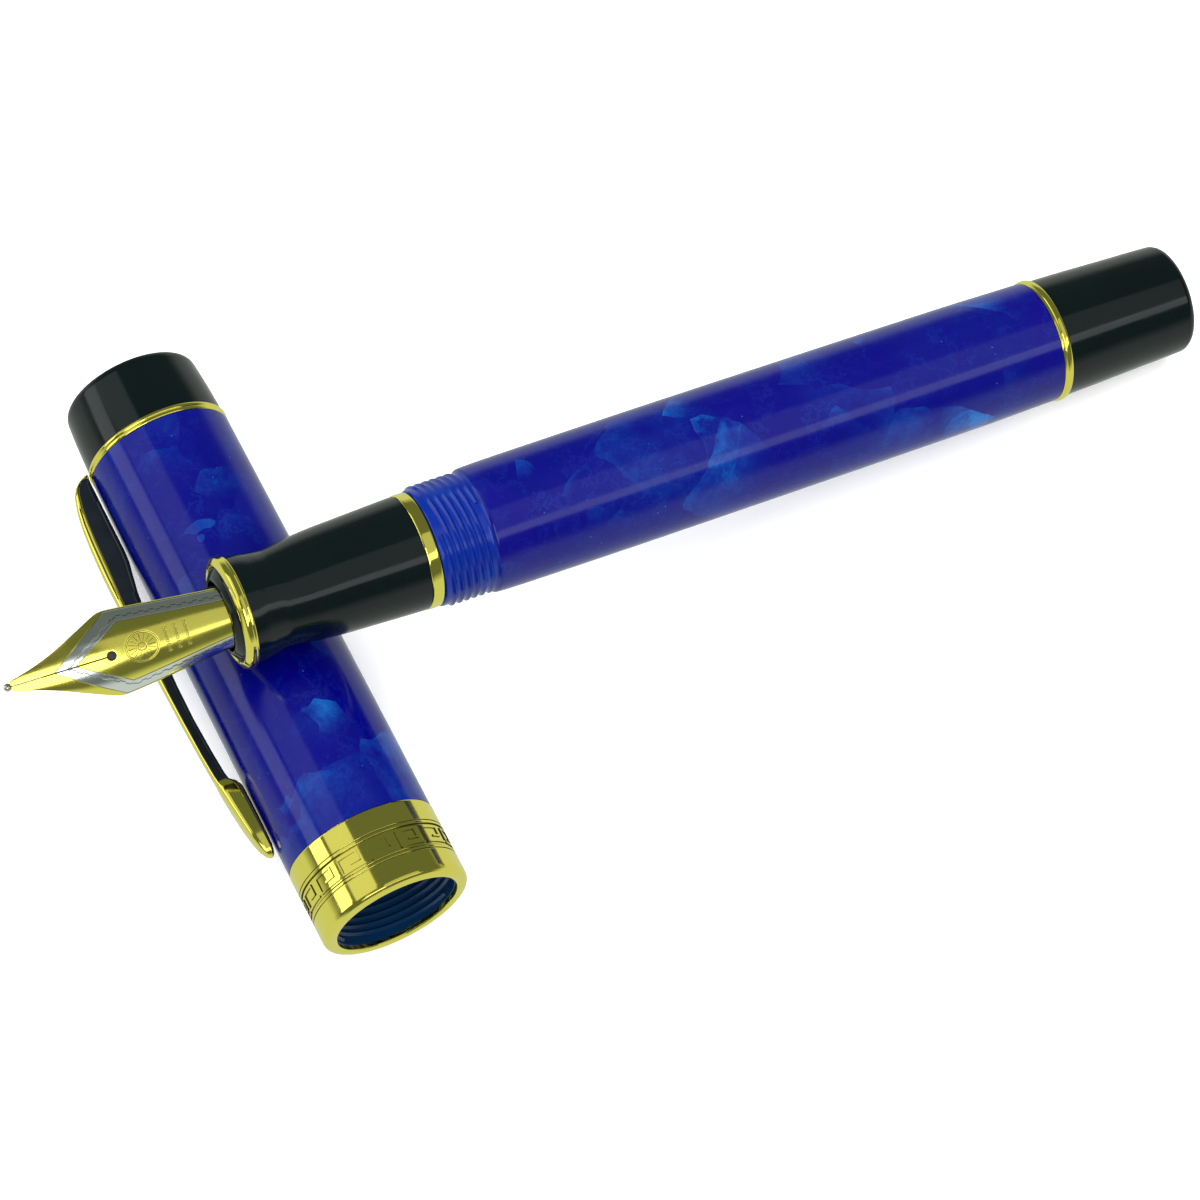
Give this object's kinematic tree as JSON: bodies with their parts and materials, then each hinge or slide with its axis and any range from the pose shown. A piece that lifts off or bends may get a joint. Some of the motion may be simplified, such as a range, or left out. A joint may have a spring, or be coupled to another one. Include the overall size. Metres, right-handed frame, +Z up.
{
  "type": "fountain pen",
  "caption": "Screw-cap fountain pen in marbled blue resin, laid uncapped across its cap, with a plated nib, a spring clip and a piston ink converter.",
  "frame": {"origin": "centre of the bounding box on the table plane, the pen lying across its cap", "axes": "+X along the table roughly from nib to tail, +Y from the cap's mouth to its crown, +Z up"},
  "size_m": [0.1278, 0.0636, 0.0269],
  "materials": {
    "marbled_resin": "polished marbled resin, deep blue with paler pearl flakes",
    "black_resin": "polished black resin",
    "black_thread": "moulded black resin",
    "gold_trim": "bright gold plating",
    "nib_gold": "polished gold-plated nib with a silver-coloured border",
    "ferrule_gold": "plated sleeve",
    "bush_brass": "turned brass",
    "tip_alloy": "ground hard alloy",
    "feed_black": "moulded black plastic",
    "liner": "moulded dark plastic",
    "clear_tube": "clear plastic tube",
    "knob_black": "moulded black plastic with ribs",
    "rod_grey": "moulded grey plastic",
    "seal_rubber": "moulded seal",
    "screw_steel": "turned steel"
  },
  "bodies": {
    "barrel": {"barrel_tube": "marbled_resin", "barrel_bush": "bush_brass", "tail_ring": "gold_trim", "tail_cap": "black_resin"},
    "front": {"grip_section": "black_resin", "lip_ring": "gold_trim", "joint_ring": "gold_trim", "connector": "black_thread", "nib_collar": "feed_black", "nib": "nib_gold", "nib_tipping": "tip_alloy", "feed": "feed_black"},
    "converter": {"ink_tube": "clear_tube", "converter_ferrule": "ferrule_gold", "rod_guide": "liner"},
    "knob": {"converter_knob": "knob_black", "drive_sleeve": "knob_black"},
    "piston": {"piston_rod": "rod_grey", "piston_seal": "seal_rubber"},
    "cap": {"cap_tube": "marbled_resin", "cap_band": "gold_trim", "inner_cap": "liner", "clip_washer": "gold_trim", "crown": "black_resin", "crown_screw": "screw_steel"},
    "clip": {"clip_arm": "gold_trim"}
  },
  "joints": [
    {"name": "front_pull", "type": "slide", "parent": "barrel", "child": "front", "axis": [-0.9882, 0.0373, 0.1487], "range_m": [0, 0.075]},
    {"name": "converter_pull", "type": "slide", "parent": "front", "child": "converter", "axis": [0.9882, -0.0373, -0.1487], "range_m": [0, 0.015]},
    {"name": "knob_turn", "type": "hinge", "parent": "converter", "child": "knob", "pos_m": [0.03307, -0.00412, 0.01006], "axis": [0.9882, -0.0373, -0.1487], "range_deg": [0, 2640.2]},
    {"name": "piston_slide", "type": "slide", "parent": "converter", "child": "piston", "axis": [0.9882, -0.0373, -0.1487], "range_m": [0, 0.022]},
    {"name": "cap_draw", "type": "slide", "parent": "front", "child": "cap", "axis": [0, -1, 0], "range_m": [0, 0.055]},
    {"name": "clip_flex", "type": "hinge", "parent": "cap", "child": "clip", "pos_m": [-0.04586, 0.02435, 0.00775], "axis": [0, 0, -1], "range_deg": [0, 3.5], "stiffness_Nm_per_rad": 1, "springref_deg": -1.15}
  ],
  "couplings": [
    {"joint": "knob_turn", "follows": "piston_slide", "rad_per_m": 2094.4}
  ]
}
